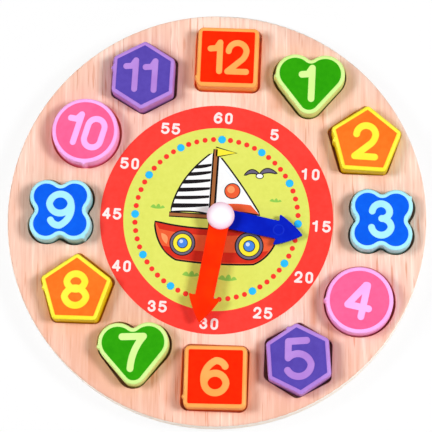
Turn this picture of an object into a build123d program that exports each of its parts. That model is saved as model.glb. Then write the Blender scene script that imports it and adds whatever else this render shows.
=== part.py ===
from build123d import *
import os
from math import cos, hypot, pi, radians, sin, sqrt, tan

# Wooden clock puzzle: a round board of two glued layers, with twelve shaped sockets round a printed
# dial, twelve painted number blocks that stand in the sockets, and two plastic arrow hands on a
# snap-in pivot. Millimetres.
# Frame: the origin is the centre of the board's round back face. +Z points out of the dial, and +Y
# runs towards the socket of the 12.

# Board: a back layer without sockets under a front layer that the sockets go right through. The rim is
# the wood left outside the ring of sockets.
rim_width = 3.54
back_board_thickness = 3.0
front_board_thickness = 7.0
front_edge_round = 1.2
back_edge_round = 0.8
socket_edge_break = 0.3

# Ring of sockets. Its centre stands a little off the centre of the board. The spacing is the least wood
# left between two neighbouring sockets.
socket_spacing = 1.955
ring_offset_x = 2.2
ring_offset_y = 0.1
socket_clearance = 1.0
socket_wander = 1.3

# Blocks: the outline of each kind, then what they have in common.
square_side = 26.5
square_corner = 2.5
heart_lobe_radius = 8.5
heart_lobe_x = 6.5
heart_lobe_y = 2.9
heart_notch_radius = 1.84
heart_tip_radius = 5.6
heart_tip_y = -15.1
heart_figure_top_gap = 0.5
heart_figure_foot_gap = 3.5
pentagon_radius = 16.0
pentagon_corner = 2.0
clover_lobe_radius = 7.2
clover_lobe_offset = 6.0
clover_waist_radius = 2.42
clover_figure_gap = 1.0
round_diameter = 28.6
hexagon_radius = 15.4
hexagon_corner = 2.0
hexagon_figure_gap = 1.6
block_thickness = 13.3
block_edge_round = 1.1
border_width = 1.8
nub_height = 0.8
nub_width = 2.6

# Ink: painted panels, and the two layers of the dial.
panel_ink = 0.15
dial_ink = 0.15
mark_ink = 0.1

# Figures on the blocks: height over all and width of the stroke.
single_figure_height = 16.6
single_figure_stroke = 3.0
double_figure_height = 15.5
double_figure_stroke = 2.7
double_figure_pitch = 8.4

# Dial, printed a little askew of the sockets and a little off the centre of the board. Its red band
# holds the figures, and ends short of the sockets by the gap. The figures are printed a little low. The
# track of dots lies inside the band.
dial_offset_x = 0.1
dial_offset_y = -0.65
dial_gap = 2.46
dial_band_width = 10.0
minute_track_inset = 5.0
minute_dot_diameter = 2.2
five_minute_dot_diameter = 3.4
minute_figure_height = 5.0
minute_figure_stroke = 1.0
minute_figure_pitch = 4.6
minute_figure_drop = 0.5
dial_turn_deg = 1.5

# Hands. The minute hand reaches into the red band, and the hour hand ends short of it.
hand_thickness = 1.5
hand_edge_round = 0.3
hub_wall = 1.7
minute_hand_reach = 6.3
minute_hand_root_width = 8.6
minute_hand_neck_width = 8.0
minute_head_length = 10.8
hour_hand_shortfall = 4.7
hour_hand_root_width = 8.4
hour_hand_neck_width = 7.8
hour_head_length = 10.5
head_width = 13.9
head_barb_sweep = 0.6
head_side_bulge = 0.5
head_tip_round = 0.6
hand_corner_round = 0.5
minute_hand_turn_deg = 188.9
hour_hand_turn_deg = 100.6

# Pivot: a tube with a flange let into the back, and a domed cap whose post snaps into the tube. It too
# stands off the centre of the board.
pivot_offset_x = 2.1
pivot_offset_y = -0.35
tube_diameter = 8.0
tube_hole_clearance = 0.1
running_clearance = 0.08
flange_width = 2.5
flange_thickness = 1.4
flange_depth = 0.4
flange_clearance = 0.5
tube_wall = 1.5
post_press = 0.02
post_end_gap = 0.6
post_end_chamfer = 0.5
cap_overhang = 0.2
cap_rim = 0.7
cap_dome = 2.3
base_washer_thickness = 1.3
base_washer_width = 1.5
hand_washer_thickness = 0.5
hand_washer_width = 1.2
axial_play = 0.1

# How far a cut runs past what it cuts.
overrun = 2.0

# The kind of block that stands at each hour.
block_kind = {
    1: "heart", 2: "pentagon", 3: "clover", 4: "round", 5: "hexagon", 6: "square",
    7: "heart", 8: "pentagon", 9: "clover", 10: "round", 11: "hexagon", 12: "square",
}
# How far each socket strays from its even place on the ring, in shares of socket_wander.
socket_wander_shares = {
    1: (0.58, 0.44), 2: (-0.05, 0.07), 3: (-0.62, 0.46), 4: (0.09, 0.25),
    5: (0.28, -0.16), 6: (0.18, 0.08), 7: (0.12, 0.78), 8: (0.02, 0.32),
    9: (0.42, -0.20), 10: (0.16, 0.02), 11: (-1.00, 0.27), 12: (-0.02, 0.10),
}
# How each block lies in its socket: its turn anticlockwise, and its shift in shares of the clearance.
block_turn_deg = {
    1: -0.5, 2: -1.8, 3: 0.5, 4: -10.5, 5: 6.0, 6: 1.0,
    7: 3.5, 8: 0.3, 9: 2.0, 10: -15.0, 11: -1.0, 12: 0.0,
}
block_shift_shares = {
    1: (0.33, -0.22), 2: (0.50, -0.50), 3: (-0.25, -0.26), 4: (-0.18, -0.27),
    5: (0.22, -0.20), 6: (0.37, -0.21), 7: (0.07, -0.01), 8: (-0.12, -0.39),
    9: (0.15, -0.15), 10: (-0.11, 0.00), 11: (-0.24, -0.26), 12: (-0.05, -0.11),
}
# Direction, from the block's own centre, of the small nub that the router left on its edge.
nub_direction_deg = {
    1: 174, 2: 182, 3: 40, 4: 191, 5: 104, 6: 212, 7: 174, 8: 177, 9: 310, 10: 285, 11: 169, 12: 214,
}

# Strokes of the figures, in shares of half the height of the middle line. Two points are a straight
# stroke and three points are an arc through them.
figure_shares = {
    "0": [((-0.56, 0.44), (0, 1), (0.56, 0.44)), ((0.56, 0.44), (0.56, -0.44)),
          ((0.56, -0.44), (0, -1), (-0.56, -0.44)), ((-0.56, -0.44), (-0.56, 0.44))],
    "1": [((0.12, 1), (0.12, -1)), ((0.12, 1), (-0.12, 0.60)), ((-0.12, 0.60), (-0.52, 0.56))],
    "2": [((-0.60, 0.42), (0, 1), (0.60, 0.42)), ((0.60, 0.42), (0.52, 0.12), (0.30, -0.18)),
          ((0.30, -0.18), (-0.64, -1)), ((-0.64, -1), (0.62, -1))],
    "3": [((-0.60, 0.52), (-0.02, 1), (0.48, 0.54)), ((0.48, 0.54), (0.36, 0.20), (0, 0.06)),
          ((0, 0.06), (0.42, -0.10), (0.60, -0.46)), ((0.60, -0.46), (0, -1), (-0.62, -0.52))],
    "4": [((0.20, 1), (-0.66, -0.42)), ((-0.66, -0.42), (0.66, -0.42)), ((0.20, 1), (0.30, 1)),
          ((0.30, 1), (0.30, -1))],
    "5": [((0.52, 1), (-0.50, 1)), ((-0.50, 1), (-0.58, 0.08)), ((-0.58, 0.08), (0.02, 0.28), (0.68, -0.34)),
          ((0.68, -0.34), (0, -1), (-0.66, -0.62))],
    "6": [((-0.68, -0.40), (0, -1), (0.68, -0.40)), ((0.68, -0.40), (0, 0.22), (-0.68, -0.40)),
          ((-0.68, -0.40), (-0.56, 0.46), (0.02, 1)), ((0.02, 1), (0.40, 0.90), (0.60, 0.66))],
    "7": [((-0.68, 1), (0.66, 1)), ((0.66, 1), (0.08, 0.10), (-0.20, -1))],
    "8": [((-0.57, 0.50), (0, 1), (0.57, 0.50)), ((0.57, 0.50), (0, 0.02), (-0.57, 0.50)),
          ((-0.68, -0.44), (0, -1), (0.68, -0.44)), ((0.68, -0.44), (0, 0.10), (-0.68, -0.44))],
}
# The 9 is the 6 turned upside down.
figure_shares["9"] = [tuple((-x, -y) for x, y in stroke) for stroke in figure_shares["6"]]

# The lowest point of the heart's notch, and of each waist of the clover. The figures keep clear of them.
heart_notch_rise = sqrt((heart_lobe_radius + heart_notch_radius) ** 2 - heart_lobe_x**2)
heart_notch_y = heart_lobe_y + heart_notch_rise - heart_notch_radius
clover_waist_rise = sqrt((clover_lobe_radius + clover_waist_radius) ** 2 - clover_lobe_offset**2)
clover_waist_y = clover_lobe_offset + clover_waist_rise - clover_waist_radius
heart_figure_top = heart_notch_y - border_width - heart_figure_top_gap
heart_figure_foot = heart_tip_y + border_width + heart_figure_foot_gap
clover_figure_height = 2 * (clover_waist_y - border_width - clover_figure_gap)

# The slanting borders of a hexagon close in over the ends of a figure's top bar, as far out as the share.
# Double figures there are lower than a single one.
hexagon_slant = radians(30)
top_bar_share = 0.52
hexagon_double_share = 0.86
hexagon_panel_tip_y = hexagon_radius - border_width / cos(hexagon_slant)
hexagon_figure_rise = (hexagon_panel_tip_y - hexagon_figure_gap) / (1 + top_bar_share * tan(hexagon_slant))
hexagon_single_height = 2 * hexagon_figure_rise
hexagon_double_height = hexagon_single_height * hexagon_double_share

# How far the largest block reaches from its centre. The squares stand in line with the ring, so half
# their side counts.
block_reach = max(
    hypot(heart_lobe_x, heart_lobe_y) + heart_lobe_radius,
    sqrt(2) * clover_lobe_offset + clover_lobe_radius,
    pentagon_radius, hexagon_radius, round_diameter / 2, square_side / 2,
)
# The ring of sockets is as wide as they need, and the board, the dial and the hands follow from it.
socket_reach = block_reach + socket_clearance
socket_circle_radius = (2 * socket_reach + socket_spacing) / (2 * sin(pi / 12))
board_diameter = 2 * (socket_circle_radius + socket_reach + rim_width)
dial_outer_radius = socket_circle_radius - socket_reach - dial_gap
dial_ring_inner_radius = dial_outer_radius - dial_band_width
minute_figure_radius = dial_outer_radius - dial_band_width / 2
minute_track_radius = dial_ring_inner_radius - minute_track_inset
minute_hand_length = dial_ring_inner_radius + minute_hand_reach
hour_hand_length = dial_ring_inner_radius - hour_hand_shortfall

# The pivot's other diameters follow from its tube, and the cap just covers the hubs of the hands.
hub_diameter = tube_diameter + 2 * hub_wall
cap_diameter = hub_diameter + 2 * cap_overhang
post_diameter = tube_diameter - 2 * tube_wall
flange_diameter = tube_diameter + 2 * flange_width
base_washer_diameter = tube_diameter + 2 * base_washer_width
hand_washer_diameter = tube_diameter + 2 * hand_washer_width

# Heights worked out from the thicknesses.
board_top = back_board_thickness + front_board_thickness
dial_top = board_top + dial_ink
base_washer_bottom = dial_top
hour_hand_bottom = base_washer_bottom + base_washer_thickness + axial_play
hand_washer_bottom = hour_hand_bottom + hand_thickness + axial_play
minute_hand_bottom = hand_washer_bottom + hand_washer_thickness + axial_play
cap_bottom = minute_hand_bottom + hand_thickness + axial_play
flange_top = flange_depth + flange_thickness
ring_centre = Vector(ring_offset_x, ring_offset_y)
pivot_centre = Vector(pivot_offset_x, pivot_offset_y)
dial_centre = Vector(dial_offset_x, dial_offset_y)


def toward(start, end, distance):
    """The point that lies the given distance from start on the way to end."""
    return start + (end - start).normalized() * distance


def flip_x(point):
    return Vector(-point.X, point.Y)


def heart_outline():
    """Two lobes, a rounded notch between them, and straight sides down to a rounded tip."""
    lobe = Vector(heart_lobe_x, heart_lobe_y)
    notch = Vector(0, heart_lobe_y + heart_notch_rise)
    tip = Vector(0, heart_tip_y + heart_tip_radius)
    # The side is tangent to the lobe and to the tip, so it leans in by the difference of their radii.
    across = tip - lobe
    lean = (heart_lobe_radius - heart_tip_radius) / across.length
    along = across.normalized()
    out = Vector(-along.Y, along.X)
    normal = out * sqrt(1 - lean**2) + along * lean
    top = toward(notch, lobe, heart_notch_radius)
    lobe_end = lobe + normal * heart_lobe_radius
    tip_start = tip + normal * heart_tip_radius
    lobe_middle = lobe + (normal + Vector(0, 1)).normalized() * heart_lobe_radius
    edges = [
        ThreePointArc(flip_x(top), Vector(0, heart_notch_y), top),
        ThreePointArc(top, lobe_middle, lobe_end),
        Line(lobe_end, tip_start),
        ThreePointArc(tip_start, Vector(0, heart_tip_y), flip_x(tip_start)),
        Line(flip_x(tip_start), flip_x(lobe_end)),
        ThreePointArc(flip_x(lobe_end), flip_x(lobe_middle), flip_x(top)),
    ]
    return make_face(edges)


def clover_outline():
    """Four round lobes with a rounded waist between each two."""
    lobe = Vector(clover_lobe_offset, clover_lobe_offset)
    waist = Vector(0, clover_lobe_offset + clover_waist_rise)
    right = toward(waist, lobe, clover_waist_radius)
    side = Vector(right.Y, right.X)
    lobe_middle = lobe + lobe.normalized() * clover_lobe_radius
    edges = []
    for quarter in range(4):
        spin = -360 / 4 * quarter
        edges.append(ThreePointArc(flip_x(right), Vector(0, clover_waist_y), right).rotate(Axis.Z, spin))
        edges.append(ThreePointArc(right, lobe_middle, side).rotate(Axis.Z, spin))
    return make_face(edges)


def polygon_outline(radius, sides, corner):
    """A regular polygon with a corner at the top and rounded corners."""
    face = RegularPolygon(radius, sides, rotation=90)
    return fillet(face.vertices(), corner)


def block_outline(kind):
    if kind == "heart":
        return heart_outline()
    if kind == "clover":
        return clover_outline()
    if kind == "pentagon":
        return polygon_outline(pentagon_radius, 5, pentagon_corner)
    if kind == "hexagon":
        return polygon_outline(hexagon_radius, 6, hexagon_corner)
    if kind == "round":
        return Circle(round_diameter / 2)
    return RectangleRounded(square_side, square_side, square_corner)


def socket_place(hour):
    """Where the socket of an hour is centred, on the back face."""
    angle = radians(90 - 360 / 12 * hour)
    share_x, share_y = socket_wander_shares[hour]
    stray = Vector(share_x, share_y) * socket_wander
    return ring_centre + Vector(cos(angle), sin(angle)) * socket_circle_radius + stray


def block_location(hour, height):
    """Where the block of an hour lies: its own centre, shifted and turned within the socket."""
    share_x, share_y = block_shift_shares[hour]
    place = socket_place(hour) + Vector(share_x, share_y) * socket_clearance
    return Location((place.X, place.Y, height), (0, 0, block_turn_deg[hour]))


def figure(text, height, stroke_width, pitch):
    """The face of a number in rounded strokes, centred on the origin."""
    half = (height - stroke_width) / 2
    strokes = []
    for place, char in enumerate(text):
        shift = (place - (len(text) - 1) / 2) * pitch
        for stroke in figure_shares[char]:
            points = [Vector(x * half + shift, y * half) for x, y in stroke]
            path = Line(*points) if len(points) == 2 else ThreePointArc(*points)
            strokes.append(SlotArc(path, stroke_width))
    return Sketch() + strokes


def block_figure(hour):
    """The number of a block, as high as the outline of its kind lets it be."""
    text = str(hour)
    if block_kind[hour] == "heart":
        height = heart_figure_top - heart_figure_foot
        middle = (heart_figure_top + heart_figure_foot) / 2
        return Pos(0, middle) * figure(text, height, single_figure_stroke, double_figure_pitch)
    if block_kind[hour] == "clover":
        return figure(text, clover_figure_height, single_figure_stroke, double_figure_pitch)
    in_hexagon = block_kind[hour] == "hexagon"
    if len(text) == 1:
        height = hexagon_single_height if in_hexagon else single_figure_height
        return figure(text, height, single_figure_stroke, double_figure_pitch)
    height = hexagon_double_height if in_hexagon else double_figure_height
    return figure(text, height, double_figure_stroke, double_figure_pitch)


def disc(diameter, bottom, top):
    """A round plate or pin between two heights, on the Z axis."""
    return Pos(0, 0, bottom) * extrude(Circle(diameter / 2), amount=top - bottom)


def ring(diameter, bore_diameter, bottom, top):
    return disc(diameter, bottom, top) - disc(bore_diameter, bottom, top)


def pivot_cut(bottom, top):
    """The hole that the pivot's tube passes through."""
    return Pos(pivot_centre) * disc(tube_diameter + 2 * tube_hole_clearance, bottom - overrun, top + overrun)


def make_back_board():
    """Plain lower layer, with the recess that takes the pivot's flange."""
    board = disc(board_diameter, 0, back_board_thickness)
    board = fillet(board.edges().sort_by(Axis.Z)[0], back_edge_round)
    recess = Pos(pivot_centre) * disc(flange_diameter + 2 * flange_clearance, -overrun, flange_top)
    return board - recess - pivot_cut(0, back_board_thickness)


def make_front_board():
    """Upper layer, with a socket right through it for each block."""
    board = disc(board_diameter, back_board_thickness, board_top)
    board = fillet(board.edges().sort_by(Axis.Z)[-1], front_edge_round)
    board -= pivot_cut(back_board_thickness, board_top)
    for hour, kind in block_kind.items():
        place = socket_place(hour)
        outline = offset(block_outline(kind), amount=socket_clearance)
        cut = extrude(outline, amount=front_board_thickness + 2 * overrun)
        board -= Pos(place.X, place.Y, back_board_thickness - overrun) * cut
    mouths = board.faces().sort_by(Axis.Z)[-1].inner_wires()
    return chamfer([edge for mouth in mouths for edge in mouth.edges()], socket_edge_break)


def make_block(hour):
    """Painted wooden block with rounded edges, and the router's nub on its side."""
    outline = block_outline(block_kind[hour])
    block = extrude(outline, amount=block_thickness)
    rims = block.edges().group_by(Axis.Z)
    block = fillet(rims[0] + rims[-1], block_edge_round)
    direction = radians(nub_direction_deg[hour])
    ray = Line((0, 0), Vector(cos(direction), sin(direction)) * 2 * block_reach)
    reach = (ray & outline.face()).length
    half_width = nub_width / 2
    root = reach - half_width
    profile = Polygon((root, -nub_width), (reach + nub_height, 0), (root, nub_width), align=None)
    nub = Rot(0, 0, nub_direction_deg[hour]) * extrude(profile, amount=block_thickness - 2 * block_edge_round)
    block += Pos(0, 0, block_edge_round) * nub
    return block_location(hour, back_board_thickness) * block


def make_panel(hour):
    """Painted panel on a block's face; the pale block shows through the figure and round the border."""
    panel = offset(block_outline(block_kind[hour]), amount=-border_width) - block_figure(hour)
    return block_location(hour, back_board_thickness + block_thickness) * extrude(panel, amount=panel_ink)


def dial_point(minute, radius):
    """A place on the dial, by its minute and its distance from the dial's centre."""
    angle = radians(90 - 360 / 60 * minute - dial_turn_deg)
    place = dial_centre + Vector(cos(angle), sin(angle)) * radius
    return Pos(place.X, place.Y, dial_top)


def make_dial_ring():
    return Pos(dial_centre) * ring(2 * dial_outer_radius, 2 * dial_ring_inner_radius, board_top, dial_top)


def make_dial_face():
    face = Pos(dial_centre) * disc(2 * dial_ring_inner_radius, board_top, dial_top)
    return face - pivot_cut(board_top, dial_top)


def make_dots(minutes, diameter):
    spot = extrude(Circle(diameter / 2), amount=mark_ink)
    return Compound(children=[dial_point(minute, minute_track_radius) * spot for minute in minutes])


def make_minute_figures():
    """The numbers 5 to 60 on the red ring, all upright."""
    solids = []
    for minute in range(5, 61, 5):
        text = figure(str(minute), minute_figure_height, minute_figure_stroke, minute_figure_pitch)
        upright = Rot(0, 0, -dial_turn_deg) * Pos(0, -minute_figure_drop) * extrude(text, amount=mark_ink)
        solids += (dial_point(minute, minute_figure_radius) * upright).solids()
    return Compound(children=solids)


def make_hand(length, root_width, neck_width, head_length, bottom, turn_deg):
    """Flat arrow with a round hub that turns on the pivot's tube."""
    root = Vector(root_width / 2, 0)
    neck = Vector(neck_width / 2, length - head_length)
    barb = Vector(head_width / 2, neck.Y - head_barb_sweep)
    tip = Vector(0, length + head_tip_round)
    out = Vector(tip.Y - barb.Y, barb.X).normalized()
    bulge = (barb + tip) / 2 + out * head_side_bulge
    half = [Line(root, neck), Line(neck, barb), ThreePointArc(barb, bulge, tip)]
    other_half = [Line(flip_x(root), flip_x(neck)), Line(flip_x(neck), flip_x(barb)),
                  ThreePointArc(flip_x(barb), flip_x(bulge), tip)]
    face = make_face([Line(flip_x(root), root)] + half + other_half)
    # The circle's seam is turned into the arrow, so that every corner left is a real one.
    face += Rot(0, 0, 90) * Circle(hub_diameter / 2)
    face = fillet(face.vertices(), hand_corner_round)
    arrow = extrude(face, amount=hand_thickness)
    arrow = fillet(arrow.edges().group_by(Axis.Z)[-1], hand_edge_round)
    arrow -= disc(tube_diameter + 2 * running_clearance, -overrun, hand_thickness + overrun)
    return Pos(pivot_centre) * Pos(0, 0, bottom) * Rot(0, 0, -turn_deg) * arrow


def make_washer(diameter, thickness, bottom):
    bore_diameter = tube_diameter + 2 * running_clearance
    return Pos(pivot_centre) * ring(diameter, bore_diameter, bottom, bottom + thickness)


def make_pivot_tube():
    """Flange in the back recess, and the tube that the hands turn on."""
    body = disc(flange_diameter, flange_depth, flange_top) + disc(tube_diameter, flange_depth, cap_bottom)
    return Pos(pivot_centre) * (body - disc(post_diameter, flange_depth, cap_bottom))


def make_pivot_cap():
    """Domed cap with the post that is pressed into the tube."""
    radius = cap_diameter / 2
    rim_top = cap_bottom + cap_rim
    crown = rim_top + cap_dome
    ball_radius = (radius**2 + cap_dome**2) / (2 * cap_dome)
    shoulder_x = radius * sin(pi / 4)
    shoulder = Vector(shoulder_x, 0, crown - ball_radius + sqrt(ball_radius**2 - shoulder_x**2))
    profile = make_face([
        Line((0, 0, cap_bottom), (radius, 0, cap_bottom)),
        Line((radius, 0, cap_bottom), (radius, 0, rim_top)),
        ThreePointArc((radius, 0, rim_top), shoulder, (0, 0, crown)),
        Line((0, 0, crown), (0, 0, cap_bottom)),
    ])
    dome = revolve(profile, Axis.Z)
    post = disc(post_diameter + 2 * post_press, flange_depth + post_end_gap, cap_bottom)
    post = chamfer(post.edges().sort_by(Axis.Z)[0], post_end_chamfer)
    return Pos(pivot_centre) * (dome + post)


nodes = {
    "back_board": make_back_board(),
    "front_board": make_front_board(),
    "dial_ring_print": make_dial_ring(),
    "dial_face_print": make_dial_face(),
    "minute_dots": make_dots([minute for minute in range(60) if minute % 5], minute_dot_diameter),
    "five_minute_dots": make_dots(range(0, 60, 5), five_minute_dot_diameter),
    "minute_figures": make_minute_figures(),
    "pivot_tube": make_pivot_tube(),
    "pivot_cap": make_pivot_cap(),
    "base_washer": make_washer(base_washer_diameter, base_washer_thickness, base_washer_bottom),
    "hand_washer": make_washer(hand_washer_diameter, hand_washer_thickness, hand_washer_bottom),
    "hour_hand": make_hand(
        hour_hand_length, hour_hand_root_width, hour_hand_neck_width, hour_head_length,
        hour_hand_bottom, hour_hand_turn_deg,
    ),
    "minute_hand": make_hand(
        minute_hand_length, minute_hand_root_width, minute_hand_neck_width, minute_head_length,
        minute_hand_bottom, minute_hand_turn_deg,
    ),
}
for hour, kind in block_kind.items():
    nodes[f"block_{hour:02d}_{kind}"] = make_block(hour)
    nodes[f"panel_{hour:02d}"] = make_panel(hour)

os.makedirs("parts", exist_ok=True)
for name, shape in nodes.items():
    export_step(shape, f"parts/{name}.step")
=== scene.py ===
import bmesh
import bpy
from math import cos, pi, radians, sin, sqrt, tan
from mathutils import Matrix, Vector


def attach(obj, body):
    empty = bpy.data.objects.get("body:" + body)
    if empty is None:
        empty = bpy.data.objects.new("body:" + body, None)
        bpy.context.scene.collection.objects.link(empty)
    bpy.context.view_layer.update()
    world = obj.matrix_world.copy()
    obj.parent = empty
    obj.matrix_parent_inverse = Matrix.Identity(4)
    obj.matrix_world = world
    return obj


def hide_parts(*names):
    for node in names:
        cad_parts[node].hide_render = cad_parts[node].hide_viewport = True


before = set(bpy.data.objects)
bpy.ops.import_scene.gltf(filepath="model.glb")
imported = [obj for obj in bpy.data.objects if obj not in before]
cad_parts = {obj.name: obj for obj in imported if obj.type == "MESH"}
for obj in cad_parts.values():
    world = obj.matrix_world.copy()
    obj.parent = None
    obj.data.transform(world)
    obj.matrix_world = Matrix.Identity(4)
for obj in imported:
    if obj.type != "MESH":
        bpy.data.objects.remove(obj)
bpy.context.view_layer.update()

# Camera
# The photo is taken from nearly straight above, from a little in front and to the right, with a long
# lens. The image stands a few degrees askew, so the camera is rolled about its own axis.
view_azimuth = radians(12.3)
view_elevation = radians(78.25)
view_roll = radians(-10.0)
view_distance = 0.967
view_target = Vector((-0.00013, 0.00064, 0.010))
focal_pixels = 2255
image_pixels = 432


def add_object(name, data):
    thing = bpy.data.objects.new(name, data)
    bpy.context.scene.collection.objects.link(thing)
    return thing


back = Vector((
    sin(view_azimuth) * cos(view_elevation),
    -cos(view_azimuth) * cos(view_elevation),
    sin(view_elevation),
))
level = Vector((0, 0, 1)).cross(back).normalized()
upright = back.cross(level)
image_right = level * cos(view_roll) + upright * sin(view_roll)
image_up = upright * cos(view_roll) - level * sin(view_roll)
eye = view_target + back * view_distance
camera_data = bpy.data.cameras.new("camera")
camera_data.sensor_width = 36
camera_data.lens = focal_pixels * camera_data.sensor_width / image_pixels
camera_data.clip_end = 20
camera = add_object("camera", camera_data)
camera.matrix_world = Matrix((
    (image_right.x, image_up.x, back.x, eye.x),
    (image_right.y, image_up.y, back.y, eye.y),
    (image_right.z, image_up.z, back.z, eye.z),
    (0, 0, 0, 1),
))
bpy.context.scene.camera = camera
bpy.context.scene.view_settings.view_transform = "Standard"

# Light
# Two soft boxes stand to the left and right of the table, so each block shades the board softly on both
# sides and hardly at all above and below. The right one is a little stronger. A weak one in front lights
# the rim, and the room does the rest.
lamp_colour = (1.0, 1.05, 1.11)
room_colour = (1.0, 0.84, 0.74, 1)
room_strength = 0.22


def add_soft_box(name, spot, size, watts):
    lamp = bpy.data.lights.new(name, "AREA")
    lamp.shape = "RECTANGLE"
    lamp.size, lamp.size_y = size
    lamp.energy = watts
    lamp.color = lamp_colour
    holder = add_object(name, lamp)
    holder.location = spot
    holder.rotation_euler = (-Vector(spot)).to_track_quat("-Z", "Y").to_euler()


add_soft_box("left_soft_box", (-0.95, 0.05, 0.95), (0.50, 0.40), 9.6)
add_soft_box("right_soft_box", (0.95, 0.05, 0.95), (0.44, 0.36), 11.5)
add_soft_box("front_soft_box", (0.15, -1.25, 0.55), (1.30, 0.40), 2.9)


def add_node(tree, kind, inputs=None, **settings):
    """A node with its settings, and with each given input set to a value or linked to a socket."""
    node = tree.nodes.new(kind)
    for name, value in settings.items():
        setattr(node, name, value)
    for socket, value in (inputs or {}).items():
        if isinstance(value, bpy.types.NodeSocket):
            tree.links.new(value, node.inputs[socket])
        else:
            node.inputs[socket].default_value = value
    return node


room = bpy.data.worlds.new("white_room")
room.use_nodes = True
bpy.context.scene.world = room
tree = room.node_tree
tree.nodes.clear()
path = add_node(tree, "ShaderNodeLightPath").outputs
seen = path["Is Camera Ray"]
for ray in ("Is Glossy Ray", "Is Transmission Ray"):
    seen = add_node(tree, "ShaderNodeMath", {0: seen, 1: path[ray]}, operation="MAXIMUM").outputs[0]
fill = add_node(tree, "ShaderNodeBackground", {"Color": room_colour, "Strength": room_strength}).outputs[0]
backdrop = add_node(tree, "ShaderNodeBackground", {"Color": (1, 1, 1, 1), "Strength": 1.0}).outputs[0]
choice = add_node(tree, "ShaderNodeMixShader", {"Fac": seen, 1: fill, 2: backdrop}).outputs[0]
add_node(tree, "ShaderNodeOutputWorld", {"Surface": choice})

# Table top
# A matt white sheet that the puzzle lies on. It keeps a faint shadow, and otherwise is as white as the
# room behind it.
table_half_width = 3.0
table_drop = 0.00005
sheet_white = (0.93, 0.92, 0.91, 1)
# How much of the sheet shows as pure white to the camera. The rest keeps the shadow.
sheet_glow = 0.86

mesh = bpy.data.meshes.new("table_top")
sides = ((-1, -1), (1, -1), (1, 1), (-1, 1))
corners = [(x * table_half_width, y * table_half_width, -table_drop) for x, y in sides]
mesh.from_pydata(corners, [], [(0, 1, 2, 3)])
table_top = add_object("table_top", mesh)
sheet = bpy.data.materials.new("white_sheet")
sheet.use_nodes = True
tree = sheet.node_tree
tree.nodes.clear()
path = add_node(tree, "ShaderNodeLightPath").outputs
matt = add_node(tree, "ShaderNodeBsdfDiffuse", {"Color": sheet_white}).outputs[0]
glow = add_node(tree, "ShaderNodeEmission", {"Color": (1, 1, 1, 1)}).outputs[0]
seen = add_node(tree, "ShaderNodeMath", {0: path["Is Camera Ray"], 1: sheet_glow}, operation="MULTIPLY")
choice = add_node(tree, "ShaderNodeMixShader", {"Fac": seen.outputs[0], 1: matt, 2: glow}).outputs[0]
add_node(tree, "ShaderNodeOutputMaterial", {"Surface": choice})
mesh.materials.append(sheet)

# Board
# The board is two layers of pale plywood glued together, sanded and finished with a clear matt lacquer.
# The front layer has a socket cut right through it for each block, and the back layer closes them.


def colour(red, green, blue):
    """A paint colour as a shader takes it, from the values a screen shows."""
    shares = [value / 255 for value in (red, green, blue)]
    return tuple(s / 12.92 if s <= 0.04045 else ((s + 0.055) / 1.055) ** 2.4 for s in shares) + (1,)


def new_material(name, roughness, specular):
    material = bpy.data.materials.new(name)
    material.use_nodes = True
    shader = material.node_tree.nodes["Principled BSDF"]
    shader.inputs["Roughness"].default_value = roughness
    shader.inputs["Specular IOR Level"].default_value = specular
    return material, shader


def link(material, source, target):
    material.node_tree.links.new(source, target)


def object_place(material):
    return add_node(material.node_tree, "ShaderNodeTexCoord").outputs["Object"]


def mapped(material, vector, **inputs):
    """A vector turned, scaled or moved by the given inputs."""
    return add_node(material.node_tree, "ShaderNodeMapping", {"Vector": vector} | inputs).outputs["Vector"]


def split(material, vector):
    """The parts of a vector along X, Y and Z."""
    return add_node(material.node_tree, "ShaderNodeSeparateXYZ", {0: vector}).outputs


def grain_noise(material, scale, detail, roughness, turn=0.0, offset=(0, 0, 0)):
    """Noise over the object: its scale per metre along each axis, its detail, its turn and its offset."""
    turned = mapped(material, object_place(material), Rotation=(0, 0, turn))
    place = mapped(material, turned, Scale=scale, Location=offset)
    inputs = {"Vector": place, "Scale": 1, "Detail": detail, "Roughness": roughness}
    return add_node(material.node_tree, "ShaderNodeTexNoise", inputs).outputs["Fac"]


def ramp(material, source, stops):
    """Colours or greys along a value, each stop as a place and a colour."""
    node = add_node(material.node_tree, "ShaderNodeValToRGB", {"Fac": source})
    elements = node.color_ramp.elements
    elements[0].position, elements[0].color = stops[0]
    elements[1].position, elements[1].color = stops[-1]
    for position, shade in stops[1:-1]:
        elements.new(position).color = shade
    return node.outputs["Color"]


def grey(value):
    return (value, value, value, 1)


def blend_colour(material, factor, first, second, mode="MIX"):
    """Mixes two colours. Each of the three may be a socket or a plain value."""
    inputs = {0: factor, 6: first, 7: second}
    node = add_node(material.node_tree, "ShaderNodeMix", inputs, data_type="RGBA", blend_type=mode)
    return node.outputs[2]


def work_out(material, operation, first, second=0.0, clamp=False):
    inputs = {0: first, 1: second}
    node = add_node(material.node_tree, "ShaderNodeMath", inputs, operation=operation, use_clamp=clamp)
    return node.outputs[0]


def vector_step(material, operation, vector, other=(0, 0, 0), output="Vector"):
    """One step of vector arithmetic on a socket, with a fixed second vector."""
    inputs = {0: vector, 1: other}
    return add_node(material.node_tree, "ShaderNodeVectorMath", inputs, operation=operation).outputs[output]


def add_bump(material, shader, layers):
    """Stacks bumps on a shader, each as a height socket and its depth in metres."""
    below = {}
    for height, depth in layers:
        inputs = {"Strength": 1, "Distance": depth, "Height": height} | below
        below = {"Normal": add_node(material.node_tree, "ShaderNodeBump", inputs).outputs["Normal"]}
    link(material, below["Normal"], shader.inputs["Normal"])


# A face counts as flat when its normal points up or down by at least this much.
lying_flat = 0.6


def face_up(material):
    """1 on faces that lie flat and 0 on upright ones."""
    normal = add_node(material.node_tree, "ShaderNodeNewGeometry").outputs["Normal"]
    upward = work_out(material, "ABSOLUTE", split(material, normal)["Z"])
    return work_out(material, "GREATER_THAN", upward, lying_flat)


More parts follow.
